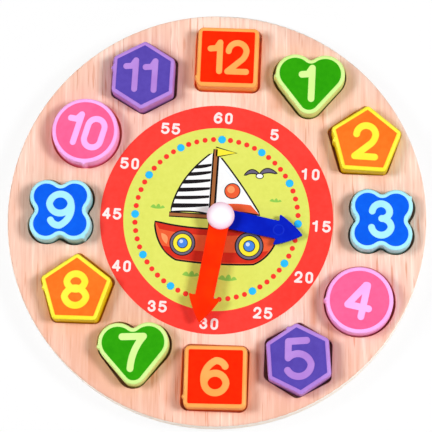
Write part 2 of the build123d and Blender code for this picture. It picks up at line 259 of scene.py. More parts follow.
grain_turn = radians(-2.5)
wood_ruddy = colour(240, 183, 157)
wood_middle = colour(247, 199, 176)
wood_warm = colour(249, 206, 184)
wood_pale = colour(253, 226, 207)
pore_colour = colour(222, 146, 112)
# How far each kind of noise goes into the veneer's tone.
streak_share, fine_share, wide_share, cloud_share = 0.34, 0.18, 0.24, 0.24
# Brown for the socket walls: router browning and painted shade.
routed_and_shaded_brown = colour(252, 206, 168)
routed_and_shaded_share = 0.8
rim_start = 0.0885
rim_middle, rim_half_height = 0.005, 0.0036
grain_depth = pore_depth = 0.00005
# Dark lines in the veneer: across and along the grain, half the length, and how far each one shows.
veneer_lines = (
    (0.0016, -0.0850, 0.0090, 0.80), (0.0195, -0.0850, 0.0060, 0.55), (-0.0620, -0.0560, 0.0060, 0.45),
    (-0.0655, -0.0545, 0.0050, 0.40), (-0.0540, -0.0600, 0.0040, 0.60), (0.0560, -0.0610, 0.0050, 0.40),
    (0.0300, 0.0790, 0.0070, 0.35), (-0.0480, 0.0560, 0.0060, 0.40), (0.0520, 0.0530, 0.0060, 0.35),
    (-0.0830, 0.0050, 0.0080, 0.30),
)
veneer_line_half_width = 0.00028
streak_ends = 3.0
# Browner bands beside the blocks, partly darker grain and partly painted shadow of the blocks on the board:
# across and along the grain, half the width and length, and their strength.
shadow_and_grain_bands = (
    (0.0415, -0.0385, 0.0035, 0.0110, 0.80), (0.0525, -0.0045, 0.0030, 0.0130, 0.60),
    (0.0265, 0.0540, 0.0050, 0.0080, 0.50), (-0.0515, 0.0630, 0.0020, 0.0095, 0.30),
    (0.0450, 0.0280, 0.0030, 0.0080, 0.32), (-0.0425, 0.0490, 0.0030, 0.0045, 0.34),
    (-0.0210, -0.0700, 0.0030, 0.0120, 0.48), (-0.0530, -0.0640, 0.0045, 0.0080, 0.34),
    (0.0175, -0.0625, 0.0015, 0.0105, 0.55), (0.0480, -0.0500, 0.0045, 0.0050, 0.55),
    (0.0210, -0.0730, 0.0035, 0.0030, 0.20),
)
# Paler and ruddier patches of the veneer: place on the board, reach, and how far each shifts the tone.
veneer_patches = (
    (0.003, 0.086, 0.031, 0.180), (0.002, 0.055, 0.022, 0.240), (0.002, -0.052, 0.022, 0.290),
    (0.076, 0.036, 0.020, 0.080), (-0.030, -0.066, 0.040, -0.155), (0.036, -0.072, 0.030, -0.095),
    (-0.058, -0.017, 0.026, 0.085), (0.062, -0.054, 0.028, -0.080), (0.050, 0.010, 0.020, -0.060),
    (-0.076, -0.040, 0.026, -0.025), (0.030, -0.043, 0.018, 0.130), (-0.085, 0.004, 0.018, -0.060),
)
# A painted glow on the walls of some sockets, standing in for the light bounced between the walls and the
# warm paints of the blocks: each socket's place and the colour of its glow.
glowing_sockets = (
    (0.0021, 0.0696, (0.230, 0.024, 0.002, 1)), (0.0028, -0.0695, (0.120, 0.015, 0.001, 1)),
    (-0.0581, -0.0346, (0.090, 0.038, 0.001, 1)), (-0.0579, 0.0349, (0.130, 0.028, 0.022, 1)),
    (0.0628, 0.0344, (0.036, 0.004, 0.0, 1)), (0.0623, -0.0346, (0.036, 0.001, 0.001, 1)),
)
glow_reach = 0.018


def nearness(material, distance, reach):
    """1 at no distance, falling evenly to 0 at the reach."""
    return work_out(material, "SUBTRACT", 1.0, work_out(material, "DIVIDE", distance, reach), True)


def grain_streaks(material, grain, rows):
    """A mask of streaks along the grain, each by its place, half its width and length, and its strength.

    Along the grain a streak is full over its middle two thirds and fades towards its ends.
    """
    mask = None
    for across, along, half_width, half_length, strength in rows:
        off = work_out(material, "ABSOLUTE", work_out(material, "SUBTRACT", grain["X"], across))
        near = nearness(material, off, half_width)
        off = work_out(material, "ABSOLUTE", work_out(material, "SUBTRACT", grain["Y"], along))
        within = work_out(material, "MULTIPLY", nearness(material, off, half_length), streak_ends, True)
        streak = work_out(material, "MULTIPLY", near, within)
        streak = work_out(material, "MULTIPLY", streak, strength)
        mask = streak if mask is None else work_out(material, "MAXIMUM", mask, streak)
    return mask


def veneer_face(material, streaks, patch_height, shift):
    """The veneer's colour with the painted shadow bands beside the blocks, and a mask of its pores and dark
    lines.
    """
    fine = grain_noise(material, (1500, 70, 60), 2, 0.5, grain_turn, (shift, 6, 0))
    wide = grain_noise(material, (120, 5, 20), 2, 0.5, grain_turn, (shift + 3, 1, 0))
    cloud = grain_noise(material, (28, 14, 10), 2, 0.5, grain_turn, (shift + 7, 4, 0))
    pores = grain_noise(material, (1150, 62, 60), 1, 0.5, grain_turn, (shift, 9, 0))
    tone = work_out(material, "MULTIPLY", streaks, streak_share)
    for noise, share in ((fine, fine_share), (wide, wide_share), (cloud, cloud_share)):
        tone = work_out(material, "ADD", tone, work_out(material, "MULTIPLY", noise, share))
    place = object_place(material)
    for x, y, reach, tone_shift in veneer_patches:
        off = vector_step(material, "DISTANCE", place, (x, y, patch_height), "Value")
        near = nearness(material, off, reach)
        tone = work_out(material, "ADD", tone, work_out(material, "MULTIPLY", near, tone_shift))
    tones = [(0.40, wood_ruddy), (0.48, wood_middle), (0.53, wood_warm), (0.60, wood_pale)]
    face = ramp(material, tone, tones)
    clusters = ramp(material, cloud, [(0.38, grey(0.2)), (0.56, grey(1))])
    pore_mask = ramp(material, pores, [(0.635, grey(0)), (0.72, grey(0.72))])
    pore_mask = work_out(material, "MULTIPLY", pore_mask, clusters)
    grain = split(material, mapped(material, place, Rotation=(0, 0, grain_turn)))
    # Bands beside the blocks: painted shadow, with some darker grain in it.
    grain_and_shadow = grain_streaks(material, grain, shadow_and_grain_bands)
    thin_rows = [(across, along, veneer_line_half_width, half_length, strength)
                 for across, along, half_length, strength in veneer_lines]
    lines = grain_streaks(material, grain, thin_rows)
    for mask in (pore_mask, grain_and_shadow, lines):
        face = blend_colour(material, mask, face, pore_colour)
    return face, work_out(material, "MAXIMUM", pore_mask, lines)


def ply_edges(material, height, layer_bottom, ply, shift):
    """The plies seen from the side, light and dark in turn, with end grain in them. Both are lightened
    towards white as painted light, so the shaded rim reads bright.
    """
    rise = work_out(material, "DIVIDE", work_out(material, "SUBTRACT", height, layer_bottom), ply)
    band = ramp(material, work_out(material, "PINGPONG", rise, 1.0), [(0.30, grey(0)), (0.70, grey(1))])
    fibre = grain_noise(material, (900, 900, 260), 4, 0.6, 0.0, (shift, 5, 0))
    # Both ply colours are pale wood lightened towards white: painted light on the shaded rim.
    light_ply = blend_colour(material, fibre, colour(253, 242, 230), colour(255, 251, 244))
    dark_ply = blend_colour(material, fibre, colour(240, 218, 194), colour(251, 236, 218))
    return blend_colour(material, band, light_ply, dark_ply)


def painted_wall_glow(material, flat, walls):
    """A painted glow on the walls of some sockets, standing in for bounced light."""
    wall_glow = grey(0)
    for x, y, light in glowing_sockets:
        off = vector_step(material, "DISTANCE", flat, (x, y, 0), "Value")
        near = work_out(material, "LESS_THAN", off, glow_reach)
        wall_glow = blend_colour(material, work_out(material, "MULTIPLY", near, walls), wall_glow, light, "ADD")
    return wall_glow


def plywood(name, layer_bottom, ply, shift):
    """Veneer grain on the faces, the edges of the plies on the rim and in the sockets, and a painted glow
    on some socket walls.

    The layer's underside and its ply's thickness place the plies. The shift takes another stretch of grain.
    """
    material, shader = new_material(name, roughness=0.55, specular=0.12)
    place = object_place(material)
    flat = vector_step(material, "MULTIPLY", place, (1, 1, 0))
    height = split(material, place)["Z"]
    streaks = grain_noise(material, (430, 24, 40), 4, 0.6, grain_turn, (shift, 0, 0))
    face, dark_spots = veneer_face(material, streaks, layer_bottom + ply, shift)
    edge = ply_edges(material, height, layer_bottom, ply, shift)
    # The walls of the sockets, well inside the rim, are browned a little: partly by the router and partly
    # as painted shade in the gaps round the blocks.
    span = vector_step(material, "LENGTH", flat, output="Value")
    inside = work_out(material, "LESS_THAN", span, rim_start)
    browned_and_shaded = work_out(material, "MULTIPLY", inside, routed_and_shaded_share)
    edge = blend_colour(material, browned_and_shaded, edge, routed_and_shaded_brown, "MULTIPLY")
    # The veneer ends where the rounded edges do, so the upright rim shows only the plies.
    off = work_out(material, "ABSOLUTE", work_out(material, "SUBTRACT", height, rim_middle))
    rim_side = work_out(material, "MULTIPLY", work_out(material, "LESS_THAN", off, rim_half_height),
                        work_out(material, "SUBTRACT", 1.0, inside))
    level_face = face_up(material)
    shown = work_out(material, "MULTIPLY", level_face, work_out(material, "SUBTRACT", 1.0, rim_side))
    link(material, blend_colour(material, shown, edge, face), shader.inputs["Base Color"])
    walls = work_out(material, "SUBTRACT", 1.0, level_face)
    # Painted glow: the walls of some sockets give off a little light of their own, standing in for bounced
    # light.
    link(material, painted_wall_glow(material, flat, walls), shader.inputs["Emission Color"])
    shader.inputs["Emission Strength"].default_value = 1.0
    gloss = ramp(material, streaks, [(0.3, grey(0.62)), (0.7, grey(0.48))])
    link(material, gloss, shader.inputs["Roughness"])
    dents = work_out(material, "SUBTRACT", 1.0, dark_spots)
    add_bump(material, shader, [(streaks, grain_depth), (dents, pore_depth)])
    return material


weld_distance = 1e-6
sharp_angle = radians(35)


def smooth_copy(node, name, body, material):
    """A CAD node's own shape as one closed skin, smooth over its rounded edges."""
    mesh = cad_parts[node].data.copy()
    mesh.materials.clear()
    skin = bmesh.new()
    skin.from_mesh(mesh)
    bmesh.ops.remove_doubles(skin, verts=skin.verts, dist=weld_distance)
    bmesh.ops.dissolve_degenerate(skin, edges=skin.edges, dist=weld_distance)
    bmesh.ops.recalc_face_normals(skin, faces=skin.faces)
    skin.to_mesh(mesh)
    skin.free()
    mesh.shade_smooth()
    mesh.set_sharp_from_angle(angle=sharp_angle)
    mesh.materials.append(material)
    piece = add_object(name, mesh)
    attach(piece, body)
    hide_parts(node)
    return piece


front_plywood = plywood("front_plywood", layer_bottom=0.003, ply=0.0014, shift=0.0)
back_plywood = plywood("back_plywood", layer_bottom=0.0, ply=0.001, shift=5.0)
smooth_copy("front_board", "front_layer", "board", front_plywood)
smooth_copy("back_board", "back_layer", "board", back_plywood)

# Dial
# The dial is screen-printed on the lacquered board in flat colours: a red band and a yellow-green disc.
# The ink is thin and follows the pores of the veneer.
mottle_share = 0.6
ink_pore_depth, ink_speck_depth = 0.00003, 0.00001


def print_ink(name, shade, deeper, roughness=0.45):
    """Screen ink, a little uneven in depth, with the grain of the wood showing in its surface."""
    material, shader = new_material(name, roughness, specular=0.06)
    mottle = grain_noise(material, (420, 420, 200), 5, 0.6)
    wash = grain_noise(material, (60, 60, 60), 2, 0.5, 0.0, (2, 3, 0))
    depth = work_out(material, "ADD", work_out(material, "MULTIPLY", mottle, mottle_share),
                     work_out(material, "MULTIPLY", wash, 1 - mottle_share))
    link(material, ramp(material, depth, [(0.35, deeper), (0.62, shade)]), shader.inputs["Base Color"])
    pores = grain_noise(material, (1100, 40, 60), 3, 0.6, grain_turn)
    speck = grain_noise(material, (2600, 2600, 900), 2, 0.5)
    link(material, ramp(material, speck, [(0.3, grey(roughness + 0.1)), (0.7, grey(roughness - 0.06))]),
         shader.inputs["Roughness"])
    add_bump(material, shader, [(pores, ink_pore_depth), (speck, ink_speck_depth)])
    return material


def dress(node, material):
    """Gives a CAD node its finish."""
    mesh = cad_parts[node].data
    mesh.materials.clear()
    mesh.materials.append(material)


dress("dial_ring_print", print_ink("dial_red_ink", colour(255, 68, 58), colour(250, 58, 48)))
dress("dial_face_print", print_ink("dial_green_ink", colour(226, 230, 104), colour(219, 223, 95)))
dress("minute_figures", print_ink("figure_white_ink", colour(250, 234, 230), colour(247, 225, 219)))

# Minute dots
# Forty-eight small red dots and twelve larger blue ones mark the minutes. Each is a drop of screen ink
# that stands a hair proud of the dial and is thinner at its edge.
dial_centre = Vector((0.0001, -0.00065))
dial_turn = radians(-1.5)
dial_top = 0.01015
track_radius = 0.035
dot_ink_height = 0.00009
small_dot_radius, large_dot_radius = 0.00115, 0.00174


def dots_tree():
    """Drops of ink spaced evenly round a circle, with or without each fifth place."""
    tree = bpy.data.node_groups.new("dots_round_dial", "GeometryNodeTree")
    tree.interface.new_socket("Geometry", in_out="OUTPUT", socket_type="NodeSocketGeometry")
    for name, kind in (
        ("Places", "NodeSocketInt"), ("Track Radius", "NodeSocketFloat"),
        ("Dot Radius", "NodeSocketFloat"), ("Ink Height", "NodeSocketFloat"),
        ("Start Angle", "NodeSocketFloat"), ("Fifths Only", "NodeSocketBool"),
        ("Uneven", "NodeSocketFloat"), ("Seed", "NodeSocketInt"), ("Ink", "NodeSocketMaterial"),
    ):
        tree.interface.new_socket(name, in_out="INPUT", socket_type=kind)
    given = add_node(tree, "NodeGroupInput").outputs
    circle = add_node(tree, "GeometryNodeMeshCircle", {
        "Vertices": given["Places"], "Radius": given["Track Radius"],
    })
    index = add_node(tree, "GeometryNodeInputIndex")
    rest = add_node(tree, "FunctionNodeIntegerMath", {0: index.outputs[0], 1: 5}, operation="MODULO")
    fifth = add_node(tree, "FunctionNodeCompare", {2: rest.outputs[0]}, data_type="INT", operation="EQUAL")
    chosen = add_node(tree, "FunctionNodeBooleanMath", {
        0: fifth.outputs[0], 1: given["Fifths Only"],
    }, operation="XNOR")
    drop = add_node(tree, "GeometryNodeMeshUVSphere", {
        "Segments": 24, "Rings": 6, "Radius": given["Dot Radius"],
    })
    share = add_node(tree, "ShaderNodeMath", {
        0: given["Ink Height"], 1: given["Dot Radius"],
    }, operation="DIVIDE")
    flat = add_node(tree, "ShaderNodeCombineXYZ", {0: 1, 1: 1, 2: share.outputs[0]})
    press = add_node(tree, "GeometryNodeTransform", {
        "Geometry": drop.outputs["Mesh"], "Scale": flat.outputs[0],
    })
    least = add_node(tree, "ShaderNodeMath", {0: 1, 1: given["Uneven"]}, operation="SUBTRACT")
    vary = add_node(tree, "FunctionNodeRandomValue", {
        2: least.outputs[0], 3: 1, "Seed": given["Seed"],
    }, data_type="FLOAT")
    spread = add_node(tree, "GeometryNodeInstanceOnPoints", {
        "Points": circle.outputs["Mesh"], "Selection": chosen.outputs[0],
        "Instance": press.outputs["Geometry"], "Scale": vary.outputs[1],
    })
    axis = add_node(tree, "ShaderNodeCombineXYZ", {2: given["Start Angle"]})
    turn = add_node(tree, "GeometryNodeTransform", {
        "Geometry": spread.outputs[0], "Rotation": axis.outputs[0],
    })
    real = add_node(tree, "GeometryNodeRealizeInstances", {"Geometry": turn.outputs["Geometry"]})
    inked = add_node(tree, "GeometryNodeSetMaterial", {
        "Geometry": real.outputs["Geometry"], "Material": given["Ink"],
    })
    add_node(tree, "NodeGroupOutput", {0: inked.outputs["Geometry"]})
    return tree


def grow(tree, name, values, place):
    """Runs a tree with these values by name, and keeps what it makes as a plain mesh piece."""
    holder = add_object(name + "_seed", bpy.data.meshes.new(name + "_seed"))
    modifier = holder.modifiers.new("grow", "NODES")
    modifier.node_group = tree
    for item in tree.interface.items_tree:
        if item.in_out == "INPUT":
            modifier[item.identifier] = values[item.name]
    bpy.context.view_layer.update()
    grown = holder.evaluated_get(bpy.context.evaluated_depsgraph_get())
    mesh = bpy.data.meshes.new_from_object(grown)
    holder.modifiers.clear()
    bpy.data.objects.remove(holder)
    mesh.transform(Matrix.Translation(place))
    mesh.shade_smooth()
    return add_object(name, mesh)


tree = dots_tree()
dot_values = {
    "Places": 60, "Track Radius": track_radius, "Ink Height": dot_ink_height,
    "Start Angle": radians(90) + dial_turn, "Uneven": 0.05, "Seed": 7,
}
dial_middle = (dial_centre.x, dial_centre.y, dial_top)
small_dots = grow(tree, "small_minute_dots", dot_values | {
    "Dot Radius": small_dot_radius, "Fifths Only": False,
    "Ink": print_ink("dot_red_ink", colour(255, 62, 52), colour(250, 50, 42)),
}, dial_middle)
large_dots = grow(tree, "five_minute_dots_ink", dot_values | {
    "Dot Radius": large_dot_radius, "Fifths Only": True,
    "Ink": print_ink("dot_blue_ink", colour(46, 192, 255), colour(36, 184, 250)),
}, dial_middle)
for piece, node, slot in (
    (small_dots, "minute_dots", "dot_red_ink"), (large_dots, "five_minute_dots", "dot_blue_ink"),
):
    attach(piece, "board")
    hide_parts(node)

# Picture
# The middle of the dial carries a printed sailing boat with a striped sail, portholes, a gull and a few
# waves. Flat inks are laid over each other, the black outline first and the colour inside it.
ink_step = 0.000012
ring_sides = 40


def outward(points):
    """The outward direction at each point of an anticlockwise outline."""
    result = []
    for i, point in enumerate(points):
        along = points[(i + 1) % len(points)] - points[i - 1]
        result.append(Vector((along.y, -along.x)).normalized())
    return result


def curve(start, control, end, count=16):
    """Points from start to short of end, bent towards the control point."""
    start, control, end = Vector(start), Vector(control), Vector(end)
    shares = [i / count for i in range(count)]
    return [start * (1 - t) ** 2 + control * 2 * t * (1 - t) + end * t**2 for t in shares]


def widened(points, margin):
    """The outline moved out by the margin, whichever way round it runs."""
    area = sum(a.x * b.y - b.x * a.y for a, b in zip(points, points[1:] + points[:1]))
    side = 1 if area > 0 else -1
    return [point + out * side * margin for point, out in zip(points, outward(points))]


def ring_points(x, y, radius, tall=1.0):
    turns = [2 * pi * i / ring_sides for i in range(ring_sides)]
    return [Vector((x + radius * cos(turn), y + radius * tall * sin(turn))) for turn in turns]


# Outlines in millimetres from the dial's centre.
sheer = curve((-26, -3), (-3, -7.5), (27.5, -1.5), 24) + [Vector((27.5, -1.5))]
hull = (
    sheer + curve((27.5, -1.5), (25.5, -14.5), (17, -18.5))[1:]
    + curve((17, -18.5), (0, -20), (-16, -18.5)) + curve((-16, -18.5), (-24.5, -14.5), (-26, -3))
)
shade_band = (
    curve((23.2, -12.6), (1, -16.2), (-22.4, -13), 24) + curve((-22.4, -13), (-21, -16.4), (-16, -18.2))
    + curve((-16, -18.2), (0, -19.7), (17, -18.2)) + curve((17, -18.2), (20.6, -16.8), (23.2, -12.6))
)
rail = sheer + [point + Vector((0, -2.5)) for point in reversed(sheer)][1:-1]
gleam = (
    curve((-23.2, -7.6), (-19, -8.2), (-20.6, -12.2)) + curve((-20.6, -12.2), (-23, -10.8), (-23.2, -7.6))
)
mast = [Vector(spot) for spot in ((-2.9, -5), (-1.5, -5), (-1.5, 30.6), (-2.9, 30.6))]
boom = [Vector(spot) for spot in ((-20.4, 0.2), (-2.4, 0.2), (-2.4, 1.5), (-20.4, 1.5))]
sail_edge = ((-3.6, 28.8), (-17.5, 17), (-19.5, 2.3))
mainsail = curve(*sail_edge, 24) + curve((-19.5, 2.3), (-11, 3.6), (-3.6, 2.3), 8) + [Vector((-3.6, 2.3))]
jib_foot = curve((18.2, 3), (8, 4.8), (-0.6, 2.6), 12) + [Vector((-0.6, 2.6))]
jib = curve((-0.6, 27.4), (9.5, 16), (18.2, 3), 24) + jib_foot
hem = jib_foot + curve((-0.6, 6.2), (8, 7.8), (15.6, 6.7), 12)
jib_fold = (
    curve((11.4, 10.4), (6.4, 18.6), (1.2, 22.6), 12) + curve((1.2, 22.6), (7.6, 17.8), (11.4, 10.4), 12)
)
pennant = [Vector(spot) for spot in ((-2.2, 31.2), (6.6, 29.4), (-2.2, 27.4))]
left_wing = (
    curve((10.8, 19.8), (13.6, 24.6), (17.2, 20.4)) + curve((17.2, 20.4), (14, 22.0), (10.8, 19.8))
)
right_wing = (
    curve((17.2, 20.4), (19.6, 25.6), (24.6, 21.4)) + curve((24.6, 21.4), (20.2, 22.6), (17.2, 20.4))
)
wave = (
    curve((-3.4, 0), (-1.8, 2.8), (-0.6, 0.4), 8) + curve((-0.6, 0.4), (0.8, 3.6), (1.8, 0.3), 8)
    + curve((1.8, 0.3), (2.8, 2.2), (4.0, 0.1), 8) + curve((4.0, 0.1), (0.4, -1.2), (-3.4, 0), 8)
)
# The sail's bars rise towards the mast, sag a little, and lose a share of their height below and above.
stripe_height, stripe_lift, stripe_sag = 2.1, 1.1, 0.5
lost_below, lost_above = 0.35, 0.15
mast_side = -3.7


def sail_stripe(low):
    """One bar of the striped sail, which slants up and gets narrower towards the mast."""
    high = low + stripe_height
    outer = [point for point in curve(*sail_edge, 60) if low <= point.y <= high]
    inner_low = Vector((mast_side, low + stripe_height * lost_below + stripe_lift))
    inner_high = Vector((mast_side, high - stripe_height * lost_above + stripe_lift))
    middle = Vector(((outer[-1].x + inner_low.x) / 2, (low + inner_low.y) / 2 - stripe_sag))
    return outer + curve(outer[-1], middle, inner_low, 8) + [inner_low, inner_high]


inks = {
    "black": (28, 24, 26), "orange": (240, 98, 56), "red": (216, 50, 34), "peach": (252, 158, 104),
    "white": (252, 251, 248), "grey": (112, 104, 126), "yellow": (250, 233, 58), "blue": (76, 138, 228),
    "brown": (168, 104, 60), "leaf": (146, 204, 84), "sky": (206, 224, 246),
}
# Each print's ink, its place in the stack of inks, and its outline, widened where it makes a black line.
layers = [
    ("black", 1, widened(hull, 0.75)), ("orange", 2, hull), ("red", 3, shade_band), ("red", 3, rail),
    ("peach", 3, gleam), ("black", 1, widened(mast, 0.5)), ("brown", 2, mast),
    ("black", 1, widened(boom, 0.5)), ("brown", 2, boom), ("black", 1, widened(mainsail, 0.7)),
    ("white", 2, mainsail), ("black", 1, widened(jib, 0.7)), ("white", 2, jib), ("orange", 3, hem),
    ("black", 1, widened(pennant, 0.6)), ("yellow", 2, pennant),
    ("black", 1, widened(left_wing, 0.45)), ("grey", 2, left_wing),
    ("black", 1, widened(right_wing, 0.45)), ("grey", 2, right_wing),
    ("black", 3, ring_points(17.3, 19.9, 1.75, 0.72)), ("white", 4, ring_points(17.3, 19.9, 1.35, 0.68)),
    ("black", 3, ring_points(6.0, 12.6, 3.5)), ("orange", 4, ring_points(6.0, 12.6, 3.1)),
    ("peach", 5, ring_points(5.4, 13.2, 1.6)), ("sky", 3, jib_fold),
]
layers += [("black", 3, sail_stripe(low)) for low in (3.6, 7.2, 10.8, 14.4, 18.0, 21.2)]
porthole_rings = (
    ("black", 4, 1.0), ("grey", 5, 0.92), ("black", 6, 0.76),
    ("yellow", 7, 0.70), ("black", 8, 0.42), ("blue", 9, 0.36),
)
for x, y, radius in ((-13.8, -11.4, 5.6), (14.8, -11.0, 6.2)):
    layers += [(ink, layer, ring_points(x, y, radius * share)) for ink, layer, share in porthole_rings]
    layers.append(("sky", 10, ring_points(x - radius * 0.1, y + radius * 0.12, radius * 0.14)))
for x, y, size in ((-9.5, -25.2, 1.0), (6.2, -26.0, 1.1), (-25.8, 3.4, 0.85), (24.6, 9.2, 0.7)):
    layers.append(("leaf", 1, [point * size + Vector((x, y)) for point in wave]))

verts, faces, ink_of_face = [], [], []
ink_names = list(inks)
for ink, layer, points in layers:
    first, count = len(verts), len(points)
    for height in (0, layer * ink_step):
        for point in points:
            spot = point / 1000
            spot.rotate(Matrix.Rotation(dial_turn, 2))
            verts.append((spot.x + dial_centre.x, spot.y + dial_centre.y, dial_top + height))
    faces.append(tuple(range(first, first + count)))
    faces.append(tuple(range(first + 2 * count - 1, first + count - 1, -1)))
    for i in range(count):
        j = (i + 1) % count
        faces.append((first + i, first + count + i, first + count + j, first + j))
    ink_of_face += [ink_names.index(ink)] * (count + 2)
mesh = bpy.data.meshes.new("boat_picture")
mesh.from_pydata(verts, [], faces)
mesh.polygons.foreach_set("material_index", ink_of_face)
skin = bmesh.new()
skin.from_mesh(mesh)
bmesh.ops.recalc_face_normals(skin, faces=skin.faces)
skin.to_mesh(mesh)
skin.free()
for ink, shade in inks.items():
    deeper = [value - 8 for value in shade]
    mesh.materials.append(print_ink(f"picture_{ink}_ink", colour(*shade), colour(*deeper)))
picture = add_object("boat_picture", mesh)
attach(picture, "board")

# Blocks
# Each number block is a piece of solid wood with rounded edges, dipped in a pale satin paint. The paint
# wears along the edges, and the upright sides are darkened with painted shade. A small nub on the side is
# left from the routing.
block_foot = 0.003
block_height = 0.0133
pentagon_radius, hexagon_radius, round_radius, square_half = 0.016, 0.0154, 0.0143, 0.01325
corner_round, square_corner_round = 0.002, 0.0025
outline_step, arc_step, corner_step = 0.0005, 0.0006, 0.0003
edge_round = 0.0011
edge_steps = 7
face_inset = 0.0016
nub_height = 0.0008
nub_half_width = 0.0013
nub_sharpness = 1.2
foot_wear = 0.5


def arc(centre, radius, start, end, step=arc_step):
    """Points along an arc between two angles, both ends included."""
    count = max(2, int(abs(end - start) * radius / step) + 1)
    angles = [start + (end - start) * i / count for i in range(count + 1)]
    return [centre + Vector((cos(angle), sin(angle))) * radius for angle in angles]


def rounded_polygon(corners, corner_radius):
    """A convex outline with rounded corners, corners given anticlockwise."""
    points = []
    for i, corner in enumerate(corners):
        before = (corners[i - 1] - corner).normalized()
        after = (corners[(i + 1) % len(corners)] - corner).normalized()
        half = before.angle(after) / 2
        centre = corner + (before + after).normalized() * corner_radius / sin(half)
        first = corner + before * corner_radius / tan(half) - centre
        start = Vector((1, 0)).angle_signed(first) * -1
        sweep = pi - 2 * half
        points += arc(centre, corner_radius, start, start + sweep, corner_step)
    return points


def heart_outline():
    lobe, lobe_radius = Vector((0.0065, 0.0029)), 0.0085
    notch_radius, tip_radius = 0.00184, 0.0056
    foot = -0.0151
    tip = Vector((0, foot + tip_radius))
    notch = Vector((0, lobe.y + sqrt((lobe_radius + notch_radius) ** 2 - lobe.x**2)))
    across = tip - lobe
    lean = (lobe_radius - tip_radius) / across.length
    along = across.normalized()
    out = Vector((-along.y, along.x)) * sqrt(1 - lean**2) + along * lean
    side = Vector((1, 0)).angle_signed(out) * -1
    to_notch = Vector((1, 0)).angle_signed(notch - lobe) * -1
    flipped = Vector((-lobe.x, lobe.y))
    points = arc(tip, tip_radius, pi - side - 2 * pi, side)
    points += arc(lobe, lobe_radius, side, to_notch)
    points += arc(notch, notch_radius, to_notch - pi, -to_notch)[1:-1]
    points += arc(flipped, lobe_radius, pi - to_notch, pi - side)
    return points


def clover_outline():
    offset, lobe_radius, waist_radius = 0.006, 0.0072, 0.00242
    waist = Vector((0, offset + sqrt((lobe_radius + waist_radius) ** 2 - offset**2)))
    to_waist = Vector((1, 0)).angle_signed(waist - Vector((offset, offset))) * -1
    points = []
    for quarter in range(4):
        turn = pi / 2 * quarter
        lobe = Vector((offset, offset))
        lobe.rotate(Matrix.Rotation(turn, 2))
        points += arc(lobe, lobe_radius, turn + pi / 2 - to_waist, turn + to_waist)
        here = waist.copy()
        here.rotate(Matrix.Rotation(turn, 2))
        points += arc(here, waist_radius, turn + to_waist - pi, turn - to_waist)[1:-1]
    return points


def polygon_corners(radius, sides):
    turns = [pi / 2 + 2 * pi * i / sides for i in range(sides)]
    return [Vector((radius * cos(turn), radius * sin(turn))) for turn in turns]


def block_outline(kind):
    if kind == "heart":
        return heart_outline()
    if kind == "clover":
        return clover_outline()
    if kind == "pentagon":
        return rounded_polygon(polygon_corners(pentagon_radius, 5), corner_round)
    if kind == "hexagon":
        return rounded_polygon(polygon_corners(hexagon_radius, 6), corner_round)
    if kind == "square":
        signs = ((1, 1), (-1, 1), (-1, -1), (1, -1))
        corners = [Vector((x * square_half, y * square_half)) for x, y in signs]
        return rounded_polygon(corners, square_corner_round)
    return arc(Vector((0, 0)), round_radius, 0, 2 * pi)[:-1]


def spaced(points, step):
    """The same closed outline with its points at even distances."""
    loop = points + [points[0]]
    reach = [0.0]
    for a, b in zip(loop, loop[1:]):
        reach.append(reach[-1] + (b - a).length)
    count = int(reach[-1] / step)
    result, seat = [], 0
    for i in range(count):
        at = reach[-1] * i / count
        while reach[seat + 1] <= at:
            seat += 1
        share = (at - reach[seat]) / (reach[seat + 1] - reach[seat])
        result.append(loop[seat].lerp(loop[seat + 1], share))
    return result


def nub_bulge(points, nub_deg):
    """How far each point of the outline stands out at the nub."""
    ray = Vector((cos(radians(nub_deg)), sin(radians(nub_deg))))
    seat = max(points, key=lambda point: point.normalized().dot(ray))
    offs = [(point - seat).length / nub_half_width for point in points]
    return [nub_height * max(0.0, 1 - off) ** nub_sharpness for off in offs]


def block_rings():
    """Each ring's inset from the outline, its height and its wear, from the foot to the top."""
    rings = [(face_inset, 0.0, 0.0), (edge_round, 0.0, 0.0)]
    angles = [pi / 2 * i / edge_steps for i in range(edge_steps + 1)]
    for angle in angles[1:]:
        height = edge_round * (1 - cos(angle))
        rings.append((edge_round * (1 - sin(angle)), height, sin(2 * angle) * foot_wear))
    for angle in angles:
        height = block_height - edge_round * (1 - sin(angle))
        rings.append((edge_round * (1 - cos(angle)), height, sin(2 * angle)))
    return rings + [(face_inset, block_height, 0.0)]


def build_block(name, kind, centre, turn_deg, nub_deg, material):
    """Stacks rings of the outline, drawn in along the rounded edges, and closes both faces."""
    points = spaced(block_outline(kind), outline_step)
    facing = outward(points)
    bulge = nub_bulge(points, nub_deg)
    rings = block_rings()
    place = Matrix.Translation((centre[0] / 1000, centre[1] / 1000, block_foot))
    place = place @ Matrix.Rotation(radians(turn_deg), 4, "Z")
    verts, wear, faces = [], [], []
    for inset, height, edge in rings:
        for point, out, nub in zip(points, facing, bulge):
            share = max(0.0, 1 - inset / edge_round)
            spot = point - out * inset + out * nub * share
            verts.append(place @ Vector((spot.x, spot.y, height)))
            wear.append(edge)
    count = len(points)
    for ring in range(len(rings) - 1):
        for i in range(count):
            a, b = ring * count + i, ring * count + (i + 1) % count
            faces.append((a, b, b + count, a + count))
    faces.append(tuple(reversed(range(count))))
    faces.append(tuple(range((len(rings) - 1) * count, len(rings) * count)))
    mesh = bpy.data.meshes.new(name)
    mesh.from_pydata(verts, [], faces)
    mesh.attributes.new("edge_wear", "FLOAT", "POINT").data.foreach_set("value", wear)
    mesh.shade_smooth()
    mesh.materials.append(material)
    return add_object(name, mesh)


bare_wood = colour(226, 190, 150)
# Painted shade on the blocks' upright sides: the tint they are multiplied by, and a deeper one for the
# yellow paint.
side_shade_tint = colour(253, 236, 232)
side_shade_yellow = colour(234, 215, 62)
wear_share = 0.55
fibre_depth, peel_depth, wear_depth = 0.00003, 0.00002, -0.00003


